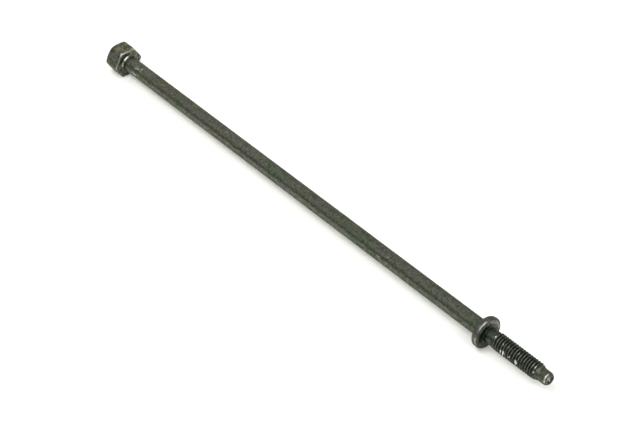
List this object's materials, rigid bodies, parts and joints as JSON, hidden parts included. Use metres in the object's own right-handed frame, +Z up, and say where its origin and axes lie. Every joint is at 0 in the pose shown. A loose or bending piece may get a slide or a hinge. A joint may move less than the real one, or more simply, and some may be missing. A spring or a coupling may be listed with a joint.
{
  "type": "battery hold down bolt",
  "caption": "Long steel hold-down bolt with a tall hexagon head, plain round shank, upset collar near the end, short coarse thread and a cylindrical pilot point.",
  "frame": {"origin": "on the bolt's axis, in the plane of the head's bearing face", "axes": "+X along the bolt's axis from the head to the pilot point; +Z up, square to the head's upper flat, as the bolt lies on its lower flat and its collar; +Y to the left, seen from the head"},
  "size_m": [0.2945, 0.0158, 0.0152],
  "materials": {
    "black_oxide_steel": "black oxide with oil, satin, rubbed bright along the edges"
  },
  "bodies": {
    "root": {"hold_down_bolt": "black_oxide_steel"}
  },
  "joints": []
}
